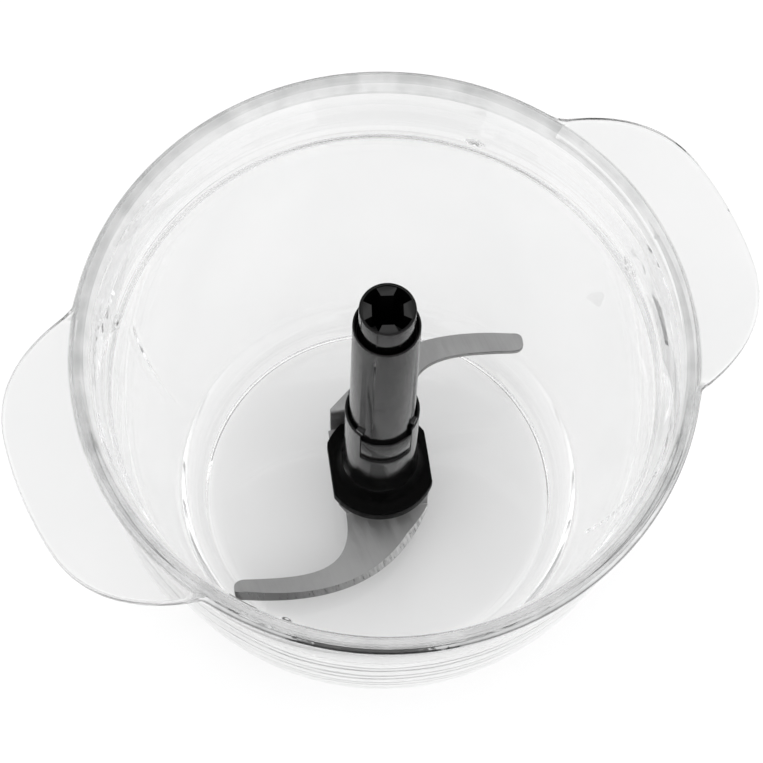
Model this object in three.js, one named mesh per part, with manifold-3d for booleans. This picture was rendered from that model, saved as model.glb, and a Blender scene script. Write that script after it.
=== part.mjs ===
// A glass food-processor bowl with two tab handles, and the S-blade unit that turns in it.
// Millimetres, +Z up. The origin is the centre of the foot ring's underside; +X runs
// through one handle. The blade unit is built in its own frame and turned to its rest angle.
import * as THREE from 'three';
import { mergeVertices } from 'three/addons/utils/BufferGeometryUtils.js';
import Module from 'manifold-3d';

const wasm = await Module();
wasm.setup();

// ---- driving dimensions -------------------------------------------------------------

const GAP = 0.3;                     // clearance kept between neighbouring pieces
const deg = Math.PI / 180;

const BOWL = {
  rimRadius: 90, rimTop: 121.3, rimEdge: 2.6, lipHeight: 7.5, lipInset: 4.2,
  mouthRadius: 85, mouthEdge: 0.6, mouthDepth: 4,
  ledgeHeight: 98, ledgeInner: 79.4, ledgeOuter: 81.4, ledgeEdge: 0.8,
  bodyRadius: 83.4, bodyTop: 92, heel: { r: 64, z: 6.5 },
  outerSwell: { low: { r: 73, z: 26 }, highZ: 50 },      // handles of the outer wall's curve
  innerSwell: { low: { r: 69.5, z: 29 }, highZ: 54 },    // and of the inner wall's
  cove: { r: 61, z: 11, bendR: 58.2, floorR: 50 },       // where the inner wall turns into the floor
  footOuter: 61.5, footInner: 57.5, footDepth: 1.2, footSlope: 1, floorTop: 5,
};
const BOSS = { radius: 9, slope: 0.6, top: 11, pocketRadius: 6.6, pocketTop: 7.3, hole: 3.1 };
const TAB = {
  reach: 110.3, endAngle: 8.86 * deg, top: 119.3, thickness: 3.4,
  rootRadius: 86.5, rootAngle: 32 * deg, root: { u: 76, v: 47.2 },
  endBend: { u: -2.9, v: 18.8 }, rootBend: { u: 15, v: -3.2 },   // handles of the side's curve
};
const LID_LUG = { angles: [1.2, 45.7, 144.8, 225.7], width: 6.5, height: 2.2, depth: 1.6, lift: 1.5 };

const PIN = {
  radius: 3, top: 104, dome: 1.2, shoulderRadius: 7.2, shoulderBottom: 12.5, shoulderTop: 14.6,
  shankRadius: 2.5, shankBottom: 2.6,
};
const WASHER_RADIUS = 5.6;
const NUT = { acrossFlats: 8, bottom: 2.5, top: 4 };
const LOCK_WASHER = { radius: 4.6, bottom: 4.3, top: 5, split: 1 };
const GASKET = { radius: 7.2, bottom: 11.3, top: 12.2 };
const LOWER_GASKET = { bottom: 6.3, top: 7 };
const CLAMP_WASHER = { bottom: 5.3, top: 6 };
const CAP = { radius: 6.2, bottom: 1.3, skirtTop: 3.2, skirt: 0.9, face: 0.9 };

const SLEEVE = { bore: 3.3, radius: 4.8, flangeRadius: 6, bottom: 15.9, flangeTop: 17.3, top: 70 };
const CLAMP = { radius: 13.6, halfWidth: 8, bottom: 14.9, top: 22.7, bore: 6.3, lipBore: 5.4, lip: 0.7 };
const SCREW = {
  x: 10.2, radius: 1.3, headRadius: 2.2, headHeight: 1.4, top: 28,
  slot: { length: 3.2, width: 0.6, depth: 0.6 },
};

const BLADE = {
  thickness: 1.8, hubTop: 24.8, sideIn: 12, sideOut: 14.4, riseSide: 13.6, boreRadius: 6.3,
  lowTop: 15, dropY: -10.4, highTop: 39, riseY: 15, rootY: 11.2, overlap: 2, reach: 30,
};
const FLANGE = { radius: 17.9, flat: 15.7, bottom: 25.1, top: 30, edge: 0.8, backFlat: 14.7 };
const NECK = { bottomRadius: 14.9, foot: 0.2, bendRadius: 11.6, bend: 2, top: 43 };
const COLLAR = {
  radius: 11.3, bore: 10.4, seat: 44, earTop: 75, earEdge: { r: 0.3, z: 0.4 },
  notchBottom: 58, notchHalfAngle: 44 * deg, rodBore: 5.1, earSlot: { width: 1, bottom: 58, top: 70 },
};
const SEAL = { bottom: COLLAR.seat + GAP, top: COLLAR.seat + 1.9 };
const TUBE = {
  bottom: SEAL.top + GAP, lowRadius: 10, topRadius: 9.65, top: 136, rimEdge: { r: 0.3, z: 0.5 },
  bore: 8, throat: 5.1, throatBottom: 60, throatTop: 70,
  plugBottom: 110, wellFloor: 114, wellBore: 8.3, mouthBore: 8.9, mouthDepth: 6,
};
const KEY = {
  radius: 11.2, root: 0.6, top: 71.5, halfAngle: COLLAR.notchHalfAngle - 1.6 * deg,
  groove: { inset: 0.05, width: 0.5, depth: 4 },
};
const TUBE_LUG = { angles: [-137, -35, 43, 145], bottom: 75.4, top: 77.6, width: 2.2, root: 1, radius: 11 };
const PIN_CAP = { radius: 4.4, bottom: PIN.top + 1.3, top: TUBE.plugBottom - GAP };
const SOCKET = { radius: 8, bottom: 116, top: 146.8, bore: 7.2, floor: 121 };
const TOOTH = { count: 4, tip: 4.4, baseWidth: 6.5, tipWidth: 3.4, recess: 0.8, turn: -6 * deg, root: 0.3 };
const SOCKET_SEAL = { bottom: 130.4, top: 132 };
const REST_TURN = -16 * deg;          // how far the blade unit stands turned from the handles

const SIDES = { bowl: 60, hub: 32, small: 16 };

// ---- materials ----------------------------------------------------------------------

const glass = new THREE.MeshStandardMaterial({
  color: 0xeef4f3, roughness: 0.05, metalness: 0, transparent: true, opacity: 0.35,
});
const steel = new THREE.MeshStandardMaterial({ color: 0x9c9ea0, roughness: 0.35, metalness: 1 });
const blackGloss = new THREE.MeshStandardMaterial({ color: 0x121314, roughness: 0.18, metalness: 0 });
const blackMatte = new THREE.MeshStandardMaterial({ color: 0x0d0d0e, roughness: 0.6, metalness: 0 });
const rubber = new THREE.MeshStandardMaterial({ color: 0x1c1c1d, roughness: 0.85, metalness: 0 });
const acetal = new THREE.MeshStandardMaterial({ color: 0xd8d6cf, roughness: 0.5, metalness: 0 });

// ---- solids -------------------------------------------------------------------------

// Closed geometry to a solid: shared vertices merged, slivers dropped, faces turned outward.
function solid(geometry) {
  geometry.deleteAttribute('normal');
  geometry.deleteAttribute('uv');
  const merged = mergeVertices(geometry, 1e-4);
  const position = merged.attributes.position.array;
  const index = merged.index.array;
  const corner = (i) => new THREE.Vector3().fromArray(position, 3 * i);
  const triangles = [];
  let volume = 0;
  for (let i = 0; i < index.length; i += 3) {
    const [a, b, c] = [index[i], index[i + 1], index[i + 2]];
    if (a === b || b === c || c === a) continue;
    triangles.push([a, b, c]);
    volume += corner(a).dot(corner(b).cross(corner(c)));
  }
  const outward = volume < 0 ? triangles.map(([a, b, c]) => [a, c, b]) : triangles;
  return new wasm.Manifold(new wasm.Mesh({
    numProp: 3,
    vertProperties: new Float32Array(position),
    triVerts: new Uint32Array(outward.flat()),
  }));
}

// An outline in (radius, height), turned about Z.
function turned(outline, steps, sides) {
  const geometry = new THREE.LatheGeometry(outline.getPoints(steps), sides);
  geometry.rotateX(Math.PI / 2);
  return solid(geometry);
}

// A plain ring or disc between two radii and two heights.
function ring(inner, outer, bottom, top, sides = SIDES.small) {
  const outline = new THREE.Path();
  outline.moveTo(inner, bottom);
  outline.lineTo(outer, bottom);
  outline.lineTo(outer, top);
  outline.lineTo(inner, top);
  outline.lineTo(inner, bottom);
  return turned(outline, 1, sides);
}

function disc(radius, bottom, top, sides = SIDES.small) {
  const outline = new THREE.Path();
  outline.moveTo(0, bottom);
  outline.lineTo(radius, bottom);
  outline.lineTo(radius, top);
  outline.lineTo(0, top);
  return turned(outline, 1, sides);
}

// A flat outline raised from one height to another.
function raised(shape, bottom, top, curveSegments = 8) {
  const geometry = new THREE.ExtrudeGeometry(shape, {
    depth: top - bottom, bevelEnabled: false, curveSegments,
  });
  geometry.translate(0, 0, bottom);
  return solid(geometry);
}

function block(x0, x1, y0, y1, z0, z1) {
  const geometry = new THREE.BoxGeometry(x1 - x0, y1 - y0, z1 - z0);
  geometry.translate((x0 + x1) / 2, (y0 + y1) / 2, (z0 + z1) / 2);
  return solid(geometry);
}

// A slice of a ring between two angles.
function sector(inner, outer, from, to, bottom, top) {
  const shape = new THREE.Shape();
  shape.absarc(0, 0, outer, from, to, false);
  shape.absarc(0, 0, inner, to, from, true);
  return raised(shape, bottom, top, 8);
}

function turnedBy(body, angle) {
  return body.rotate([0, 0, angle / deg]);
}

function piece(name, body, material) {
  const data = body.getMesh();
  const geometry = new THREE.BufferGeometry();
  geometry.setAttribute('position', new THREE.BufferAttribute(data.vertProperties, 3));
  geometry.setIndex(new THREE.BufferAttribute(data.triVerts, 1));
  geometry.computeVertexNormals();
  const mesh = new THREE.Mesh(geometry, material);
  mesh.name = name;
  return mesh;
}

// ---- glass bowl ---------------------------------------------------------------------

// Half section of the glass: foot ring, heel, swelling wall, rolled lip, mouth, lid ledge,
// inner wall, floor and the centre boss with its nut pocket underneath.
function bowlSection() {
  const b = BOWL;
  const lipUnder = b.rimTop - b.lipHeight;
  const section = new THREE.Path();
  section.moveTo(BOSS.hole, BOSS.pocketTop);
  section.lineTo(BOSS.pocketRadius, BOSS.pocketTop);
  section.lineTo(BOSS.pocketRadius, b.footDepth);
  section.lineTo(b.footInner - b.footSlope, b.footDepth);
  section.lineTo(b.footInner, 0);
  section.lineTo(b.footOuter, 0);
  section.quadraticCurveTo(b.heel.r - 0.4, b.footDepth, b.heel.r, b.heel.z);
  section.bezierCurveTo(
    b.outerSwell.low.r, b.outerSwell.low.z, b.bodyRadius, b.outerSwell.highZ, b.bodyRadius, b.bodyTop,
  );
  section.lineTo(b.rimRadius - b.lipInset, lipUnder);
  section.quadraticCurveTo(b.rimRadius, lipUnder, b.rimRadius, lipUnder + b.rimEdge);
  section.lineTo(b.rimRadius, b.rimTop - b.rimEdge);
  section.quadraticCurveTo(b.rimRadius, b.rimTop, b.rimRadius - b.rimEdge, b.rimTop);
  section.quadraticCurveTo(b.mouthRadius, b.rimTop, b.mouthRadius - b.mouthEdge, b.rimTop - b.mouthDepth);
  section.lineTo(b.ledgeOuter, b.ledgeHeight + b.ledgeEdge);
  section.lineTo(b.ledgeOuter - GAP, b.ledgeHeight);
  section.lineTo(b.ledgeInner + b.ledgeEdge / 2, b.ledgeHeight);
  section.lineTo(b.ledgeInner, b.ledgeHeight - b.ledgeEdge);
  section.bezierCurveTo(
    b.ledgeInner, b.innerSwell.highZ, b.innerSwell.low.r, b.innerSwell.low.z, b.cove.r, b.cove.z,
  );
  section.quadraticCurveTo(b.cove.bendR, b.floorTop, b.cove.floorR, b.floorTop);
  section.lineTo(BOSS.radius + BOSS.slope, b.floorTop);
  section.lineTo(BOSS.radius - BOSS.slope, BOSS.top);
  section.lineTo(BOSS.hole, BOSS.top);
  section.lineTo(BOSS.hole, BOSS.pocketTop);
  return section;
}

// One tab handle in plan: an arc at its end, and sides that sweep in to the rim.
function tabOutline() {
  const { reach, endAngle, root, endBend, rootBend, rootRadius, rootAngle } = TAB;
  const end = { u: reach * Math.cos(endAngle), v: reach * Math.sin(endAngle) };
  const shape = new THREE.Shape();
  shape.absarc(0, 0, reach, -endAngle, endAngle, false);
  shape.bezierCurveTo(
    end.u + endBend.u, end.v + endBend.v, root.u + rootBend.u, root.v + rootBend.v, root.u, root.v,
  );
  shape.absarc(0, 0, rootRadius, rootAngle, -rootAngle, true);
  shape.lineTo(root.u, -root.v);
  shape.bezierCurveTo(
    root.u + rootBend.u, -root.v - rootBend.v, end.u + endBend.u, -end.v - endBend.v, end.u, -end.v,
  );
  return shape;
}

function glassBowl() {
  let bowl = turned(bowlSection(), 4, SIDES.bowl);
  for (const side of [0, Math.PI]) {
    bowl = bowl.add(turnedBy(raised(tabOutline(), TAB.top - TAB.thickness, TAB.top, 10), side));
  }
  const foot = BOWL.ledgeHeight + LID_LUG.lift;
  for (const angle of LID_LUG.angles) {
    const lug = block(
      BOWL.ledgeOuter - LID_LUG.depth, BOWL.ledgeOuter + LID_LUG.depth,
      -LID_LUG.width / 2, LID_LUG.width / 2, foot, foot + LID_LUG.height,
    );
    bowl = bowl.add(turnedBy(lug, angle * deg));
  }
  return bowl;
}

// ---- pin and its fixing through the glass -------------------------------------------

function centrePin() {
  const outline = new THREE.Path();
  outline.moveTo(0, PIN.shankBottom);
  outline.lineTo(PIN.shankRadius, PIN.shankBottom);
  outline.lineTo(PIN.shankRadius, PIN.shoulderBottom);
  outline.lineTo(PIN.shoulderRadius, PIN.shoulderBottom);
  outline.lineTo(PIN.shoulderRadius, PIN.shoulderTop);
  outline.lineTo(PIN.radius, PIN.shoulderTop);
  outline.lineTo(PIN.radius, PIN.top - PIN.dome);
  outline.quadraticCurveTo(PIN.radius, PIN.top, 0, PIN.top);
  return turned(outline, 4, SIDES.small);
}

function hexNut() {
  const shape = new THREE.Shape();
  const corner = NUT.acrossFlats / Math.sqrt(3);
  for (let i = 0; i < 6; i += 1) {
    const angle = i * 60 * deg;
    const go = i === 0 ? 'moveTo' : 'lineTo';
    shape[go](corner * Math.cos(angle), corner * Math.sin(angle));
  }
  return raised(shape, NUT.bottom, NUT.top).subtract(disc(PIN.shankRadius + GAP, 0, BOSS.top));
}

function lockWasher() {
  const w = LOCK_WASHER;
  const split = block(0, 2 * w.radius, -w.split / 2, w.split / 2, 0, BOSS.top);
  return ring(PIN.shankRadius + GAP, w.radius, w.bottom, w.top).subtract(split);
}

function nutCap() {
  const skirt = ring(CAP.radius - CAP.skirt, CAP.radius, CAP.bottom, CAP.skirtTop);
  return disc(CAP.radius, CAP.bottom, CAP.bottom + CAP.face).add(skirt);
}

// ---- bearing ------------------------------------------------------------------------

function bearingSleeve() {
  const flange = ring(SLEEVE.bore, SLEEVE.flangeRadius, SLEEVE.bottom, SLEEVE.flangeTop, SIDES.hub);
  return ring(SLEEVE.bore, SLEEVE.radius, SLEEVE.bottom, SLEEVE.top, SIDES.hub).add(flange);
}

// ---- blade --------------------------------------------------------------------------

// One wing in plan: concave inner edge, rounded tip, convex ground edge. Its root runs a
// little way under the hub, so that the two join.
function wingOutline() {
  const { sideIn, sideOut, rootY, overlap } = BLADE;
  const shape = new THREE.Shape();
  shape.moveTo(-sideIn, overlap - rootY);
  shape.lineTo(-sideIn, -rootY);
  shape.bezierCurveTo(-sideIn, -31.5, -27, -30.3, -48.5, -28);
  shape.bezierCurveTo(-51.6, -28.6, -51.6, -33.8, -48.9, -34.2);
  shape.bezierCurveTo(-17, -40.5, 3, -32.5, sideOut, -rootY);
  shape.lineTo(sideOut, overlap - rootY);
  return shape;
}

function wing(top) {
  return raised(wingOutline(), top - BLADE.thickness, top, 12);
}

// The plate is bent down in front of the hub to the low wing, and up behind it to the high one.
function sBlade() {
  const b = BLADE;
  const hubBottom = b.hubTop - b.thickness;
  const back = b.riseY + b.thickness;
  const hub = block(-b.sideOut, b.sideOut, b.dropY, back, hubBottom, b.hubTop);
  const drop = block(-b.sideIn, b.sideOut, b.dropY - b.thickness, b.dropY, b.lowTop - b.thickness, b.hubTop);
  const rise = block(-b.riseSide, b.sideIn, b.riseY, back, hubBottom, b.highTop);
  const low = wing(b.lowTop).subtract(block(-b.reach, b.reach, b.dropY, 0, 0, TUBE.top));
  const high = turnedBy(wing(b.highTop), Math.PI).subtract(block(-b.reach, b.reach, 0, b.riseY, 0, TUBE.top));
  let blade = hub.add(drop).add(rise).add(low).add(high).subtract(disc(b.boreRadius, 0, TUBE.top));
  for (const side of [-1, 1]) {
    blade = blade.subtract(disc(SCREW.radius + GAP, 0, TUBE.top).translate([side * SCREW.x, 0, 0]));
  }
  return blade;
}

// ---- carrier, clamp plate and screws --------------------------------------------------

// Flange, concave neck and collar in one turned piece. The collar has a notch in front and
// behind for the tube's keys, and the ears left between them are slit.
function bladeCarrier() {
  const f = FLANGE;
  const c = COLLAR;
  const outline = new THREE.Path();
  outline.moveTo(c.rodBore, f.bottom);
  outline.lineTo(f.radius, f.bottom);
  outline.lineTo(f.radius, f.top - f.edge);
  outline.lineTo(f.radius - f.edge, f.top);
  outline.lineTo(NECK.bottomRadius, f.top + NECK.foot);
  outline.quadraticCurveTo(NECK.bendRadius, f.top + NECK.bend, c.radius, NECK.top);
  outline.lineTo(c.radius, c.earTop - c.earEdge.z);
  outline.lineTo(c.radius - c.earEdge.r, c.earTop);
  outline.lineTo(c.bore, c.earTop);
  outline.lineTo(c.bore, c.seat);
  outline.lineTo(c.rodBore, c.seat);
  outline.lineTo(c.rodBore, f.bottom);
  let body = turned(outline, 8, SIDES.hub);
  body = body.intersect(block(-f.flat, f.flat, -f.radius, f.backFlat, 0, TUBE.top));
  for (const facing of [-Math.PI / 2, Math.PI / 2]) {
    const [from, to] = [facing - c.notchHalfAngle, facing + c.notchHalfAngle];
    body = body.subtract(sector(c.bore - 1, c.radius + 1, from, to, c.notchBottom, TUBE.top));
  }
  const { width, bottom, top } = c.earSlot;
  for (const side of [-1, 1]) {
    const hole = disc(SCREW.radius + GAP, 0, SCREW.top + GAP).translate([side * SCREW.x, 0, 0]);
    const slot = block(c.bore - 0.5, 2 * c.radius, -width / 2, width / 2, bottom, top);
    body = body.subtract(hole).subtract(turnedBy(slot, side > 0 ? 0 : Math.PI));
  }
  return body;
}

function clampPlate() {
  const c = CLAMP;
  let plate = disc(c.radius, c.bottom, c.top, SIDES.hub);
  plate = plate.intersect(block(-c.radius, c.radius, -c.halfWidth, c.halfWidth, 0, TUBE.top));
  plate = plate.subtract(disc(c.lipBore, 0, TUBE.top));
  plate = plate.subtract(disc(c.bore, c.bottom + c.lip, TUBE.top));
  for (const side of [-1, 1]) {
    const hole = disc(SCREW.radius + GAP, 0, TUBE.top);
    const sink = disc(SCREW.headRadius + GAP, 0, c.bottom + SCREW.headHeight + 2 * GAP);
    plate = plate.subtract(hole.add(sink).translate([side * SCREW.x, 0, 0]));
  }
  return plate;
}

function clampScrew(side) {
  const head = disc(SCREW.headRadius, CLAMP.bottom + GAP, CLAMP.bottom + GAP + SCREW.headHeight);
  const { length, width, depth } = SCREW.slot;
  const slot = block(-length / 2, length / 2, -width / 2, width / 2, 0, CLAMP.bottom + GAP + depth);
  const screw = disc(SCREW.radius, CLAMP.bottom + GAP, SCREW.top).add(head).subtract(slot);
  return screw.translate([side * SCREW.x, 0, 0]);
}

// ---- tube, socket and seals -----------------------------------------------------------

// The tube is open below, where the pin and the sleeve enter it, and holds the socket's well
// above. Two keys near its foot fill the collar's notches.
function hubTube() {
  const t = TUBE;
  const outline = new THREE.Path();
  outline.moveTo(t.bore, t.bottom);
  outline.lineTo(t.lowRadius, t.bottom);
  outline.lineTo(t.lowRadius, KEY.top);
  outline.lineTo(t.topRadius, t.top - t.rimEdge.z);
  outline.lineTo(t.topRadius - t.rimEdge.r, t.top);
  outline.lineTo(t.mouthBore, t.top);
  outline.lineTo(t.mouthBore, t.top - t.mouthDepth);
  outline.lineTo(t.wellBore, t.top - t.mouthDepth);
  outline.lineTo(t.wellBore, t.wellFloor);
  outline.lineTo(0, t.wellFloor);
  outline.lineTo(0, t.plugBottom);
  outline.lineTo(t.bore, t.plugBottom);
  outline.lineTo(t.bore, t.throatTop);
  outline.lineTo(t.throat, t.throatTop);
  outline.lineTo(t.throat, t.throatBottom);
  outline.lineTo(t.bore, t.throatBottom);
  outline.lineTo(t.bore, t.bottom);
  let tube = turned(outline, 1, SIDES.hub);
  for (const facing of [-Math.PI / 2, Math.PI / 2]) {
    tube = tube.add(tubeKey(facing));
  }
  const l = TUBE_LUG;
  for (const angle of l.angles) {
    const lug = block(t.lowRadius - l.root, l.radius, -l.width / 2, l.width / 2, l.bottom, l.top);
    tube = tube.add(turnedBy(lug, angle * deg));
  }
  return tube;
}

// A key is grooved along its top, between it and the tube.
function tubeKey(facing) {
  const { inset, width, depth } = KEY.groove;
  const inner = TUBE.lowRadius + inset;
  const [from, to] = [facing - KEY.halfAngle, facing + KEY.halfAngle];
  const key = sector(TUBE.lowRadius - KEY.root, KEY.radius, from, to, COLLAR.notchBottom + GAP, KEY.top);
  const past = 6 * deg;
  return key.subtract(sector(inner, inner + width, from - past, to + past, KEY.top - depth, KEY.top + 1));
}

// One drive tooth: a trapezoid from the socket's wall inward.
function tooth() {
  const base = SOCKET.bore + TOOTH.root;
  const shape = new THREE.Shape();
  shape.moveTo(TOOTH.tip, -TOOTH.tipWidth / 2);
  shape.lineTo(base, -TOOTH.baseWidth / 2);
  shape.lineTo(base, TOOTH.baseWidth / 2);
  shape.lineTo(TOOTH.tip, TOOTH.tipWidth / 2);
  return raised(shape, SOCKET.floor - 1, SOCKET.top - TOOTH.recess);
}

function driveSocket() {
  const s = SOCKET;
  let socket = ring(s.bore, s.radius, s.bottom, s.top, SIDES.hub);
  socket = socket.add(disc(s.radius, s.bottom, s.floor, SIDES.hub));
  for (let i = 0; i < TOOTH.count; i += 1) {
    socket = socket.add(turnedBy(tooth(), TOOTH.turn + (i * 2 * Math.PI) / TOOTH.count));
  }
  return socket;
}

// ---- assembly -----------------------------------------------------------------------

const bowlGroup = new THREE.Group();
const onShank = (outer, { bottom, top }) => ring(PIN.shankRadius + GAP, outer, bottom, top);
bowlGroup.add(
  piece('glass_bowl', glassBowl(), glass),
  piece('centre_pin', centrePin(), steel),
  piece('upper_gasket', onShank(GASKET.radius, GASKET), rubber),
  piece('lower_gasket', onShank(WASHER_RADIUS, LOWER_GASKET), rubber),
  piece('clamp_washer', onShank(WASHER_RADIUS, CLAMP_WASHER), steel),
  piece('lock_washer', lockWasher(), steel),
  piece('pin_nut', hexNut(), steel),
  piece('nut_cap', nutCap(), blackMatte),
);

const bearingGroup = new THREE.Group();
bearingGroup.add(
  piece('bearing_sleeve', bearingSleeve(), acetal),
  piece('thrust_washer', ring(SLEEVE.bore, 5, PIN.shoulderTop + GAP, SLEEVE.bottom - GAP), acetal),
);

const socketSeal = ring(SOCKET.radius + GAP, TUBE.mouthBore - GAP, SOCKET_SEAL.bottom, SOCKET_SEAL.top);
const bladeGroup = new THREE.Group();
bladeGroup.rotation.z = REST_TURN;
bladeGroup.add(
  piece('s_blade', sBlade(), steel),
  piece('blade_carrier', bladeCarrier(), blackGloss),
  piece('clamp_plate', clampPlate(), blackMatte),
  piece('clamp_screw_left', clampScrew(-1), steel),
  piece('clamp_screw_right', clampScrew(1), steel),
  piece('tube_seal', ring(TUBE.bore, TUBE.lowRadius, SEAL.bottom, SEAL.top), rubber),
  piece('hub_tube', hubTube(), blackGloss),
  piece('pin_cap', disc(PIN_CAP.radius, PIN_CAP.bottom, PIN_CAP.top), acetal),
  piece('drive_socket', driveSocket(), blackGloss),
  piece('socket_seal', socketSeal, rubber),
);

const part = new THREE.Group();
part.add(bowlGroup, bearingGroup, bladeGroup);
export default part;
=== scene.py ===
"""Looks for the glass food-processor bowl and its S-blade unit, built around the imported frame.

Shapes are worked out in millimetres and written to meshes in metres. Every piece is a closed
mesh that stands for the CAD node of the same name and rides on that node's body.
"""
import math

import bmesh
import bpy
import numpy as np
from mathutils import Matrix, Vector


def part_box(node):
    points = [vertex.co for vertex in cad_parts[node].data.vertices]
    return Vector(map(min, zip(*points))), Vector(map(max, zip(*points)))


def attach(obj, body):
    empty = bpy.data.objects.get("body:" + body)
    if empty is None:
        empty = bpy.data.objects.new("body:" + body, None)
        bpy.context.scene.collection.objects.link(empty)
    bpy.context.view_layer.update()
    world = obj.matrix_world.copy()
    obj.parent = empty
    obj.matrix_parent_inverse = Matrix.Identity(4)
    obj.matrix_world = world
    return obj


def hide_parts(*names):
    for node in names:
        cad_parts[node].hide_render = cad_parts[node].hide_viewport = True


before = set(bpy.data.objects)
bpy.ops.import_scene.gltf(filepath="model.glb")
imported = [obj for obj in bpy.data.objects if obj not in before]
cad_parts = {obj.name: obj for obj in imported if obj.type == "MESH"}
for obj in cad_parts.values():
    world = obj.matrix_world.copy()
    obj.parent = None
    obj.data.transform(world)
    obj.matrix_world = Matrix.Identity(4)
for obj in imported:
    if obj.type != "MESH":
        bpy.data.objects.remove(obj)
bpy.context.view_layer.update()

MM = 0.001
GAP = 0.3                               # clearance between neighbouring pieces, mm
REST_TURN = math.radians(-16)           # the blade unit's rest angle about the bowl's axis


def node_box(node):
    """A node's lowest and highest corner in millimetres."""
    low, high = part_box(node)
    return low / MM, high / MM


BOWL_HIGH = node_box("glass_bowl")[1]
RIM_R = BOWL_HIGH.y - 0.02              # the lip's outer radius, a hair inside the CAD's
RIM_TOP = BOWL_HIGH.z
TAB_REACH = BOWL_HIGH.x                 # the tab handles' outer radius
TUBE_TOP = node_box("hub_tube")[1].z
CARRIER_LOW, CARRIER_HIGH = node_box("blade_carrier")
SHANK_HOLE, SLEEVE_BORE, BLADE_BORE = 2.8, 3.3, 6.3     # radii of the holes round the pin
LIGHT_BOUNCES = 40                      # light goes to and fro inside the rim this often


# ---- mesh building --------------------------------------------------------------------

def filleted(corners, steps=5):
    """A polyline (x, y, fillet radius) with its corners rounded by parabolas of `steps` segments.

    Every corner with a radius gives steps + 1 points, so outlines with the same list of
    radii above zero have the same number of points.
    """
    points = []
    count = len(corners)
    for i, (x, y, radius) in enumerate(corners):
        here = np.array((x, y), float)
        if radius <= 0 or i in (0, count - 1):
            points.append(here)
            continue
        before = np.array(corners[i - 1][:2], float) - here
        after = np.array(corners[i + 1][:2], float) - here
        a, b = np.linalg.norm(before), np.linalg.norm(after)
        before, after = before / max(a, 1e-9), after / max(b, 1e-9)
        half = math.acos(float(np.clip(before @ after, -1, 1))) / 2
        reach = min(radius / max(math.tan(half), 1e-6), 0.48 * a, 0.48 * b)
        points.extend(parabola(here + before * reach, here, here + after * reach, steps))
    return np.array(points)


def parabola(start, corner, end, steps):
    """steps + 1 points along a curve that leaves start toward corner and comes from it to end."""
    t = np.linspace(0, 1, steps + 1)[:, None]
    start, corner, end = (np.array(p, float) for p in (start, corner, end))
    return (1 - t) ** 2 * start + 2 * t * (1 - t) * corner + t * t * end


def bezier(p0, p1, p2, p3, steps):
    """steps + 1 points along a cubic curve."""
    t = np.linspace(0, 1, steps + 1)[:, None]
    p0, p1, p2, p3 = (np.array(p, float) for p in (p0, p1, p2, p3))
    return (1 - t) ** 3 * p0 + 3 * t * (1 - t) ** 2 * p1 + 3 * t * t * (1 - t) * p2 + t ** 3 * p3


def mesh_object(name, vertices, faces, sharp_angle=30):
    """A mesh object from points in millimetres, smooth up to sharp_angle."""
    mesh = bpy.data.meshes.new(name)
    mesh.from_pydata([tuple(v) for v in np.asarray(vertices) * MM], [], faces)
    mesh.update()
    piece = bpy.data.objects.new(name, mesh)
    bpy.context.scene.collection.objects.link(piece)
    tidy_normals(piece)
    shade(piece, sharp_angle)
    return piece


def tidy_normals(piece):
    work = bmesh.new()
    work.from_mesh(piece.data)
    bmesh.ops.recalc_face_normals(work, faces=work.faces)
    if work.calc_volume(signed=True) < 0:
        bmesh.ops.reverse_faces(work, faces=work.faces)
    work.to_mesh(piece.data)
    work.free()


def shade(piece, sharp_angle):
    piece.data.shade_smooth()
    piece.data.set_sharp_from_angle(angle=math.radians(sharp_angle))


def grid_faces(columns, rows, closed_rows):
    """Quads of a grid of points, closed round the columns and, if asked, down the rows."""
    faces = []
    last = rows if closed_rows else rows - 1
    for i in range(columns):
        j = (i + 1) % columns
        for k in range(last):
            n = (k + 1) % rows
            faces.append((i * rows + k, j * rows + k, j * rows + n, i * rows + n))
    return faces


def around(name, section_at, angles, sharp_angle=30):
    """A closed ring solid. section_at(angle) gives the (radius, height) points of a closed
    section at that angle."""
    points = []
    for angle in angles:
        section = section_at(angle)
        radius, height = section[:, 0], section[:, 1]
        points.append(np.stack([radius * math.cos(angle), radius * math.sin(angle), height], 1))
    rows = len(points[0])
    return mesh_object(name, np.concatenate(points), grid_faces(len(angles), rows, True), sharp_angle)


def lathe(name, corners, sides=96, steps=4, sharp_angle=30):
    """A turned solid from an open outline whose first and last points lie on the axis, or
    from a closed ring outline that stays off the axis."""
    if corners[0][0] > 0:
        loop = filleted(corners + [corners[0]], steps)[:-1]
        return around(name, lambda angle: loop, turns(sides), sharp_angle)
    outline = filleted(corners, steps)
    inner = outline[1:-1]
    rows = len(inner)
    points = [(r * math.cos(a), r * math.sin(a), z) for a in turns(sides) for r, z in inner]
    faces = grid_faces(sides, rows, False)
    low, high = len(points), len(points) + 1
    points += [(0, 0, outline[0][1]), (0, 0, outline[-1][1])]
    for i in range(sides):
        j = (i + 1) % sides
        faces.append((low, j * rows, i * rows))
        faces.append((high, i * rows + rows - 1, j * rows + rows - 1))
    return mesh_object(name, points, faces, sharp_angle)


def turns(sides):
    return [2 * math.pi * i / sides for i in range(sides)]


def prism(name, outline, bottom, top):
    """A flat outline raised from bottom to top."""
    count = len(outline)
    points = [(x, y, bottom) for x, y in outline] + [(x, y, top) for x, y in outline]
    faces = [tuple(range(count)), tuple(range(count, 2 * count))]
    faces += [(i, (i + 1) % count, count + (i + 1) % count, count + i) for i in range(count)]
    return mesh_object(name, points, faces)


def slab(name, x0, x1, y0, y1, z0, z1):
    return prism(name, [(x0, y0), (x1, y0), (x1, y1), (x0, y1)], z0, z1)


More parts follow.
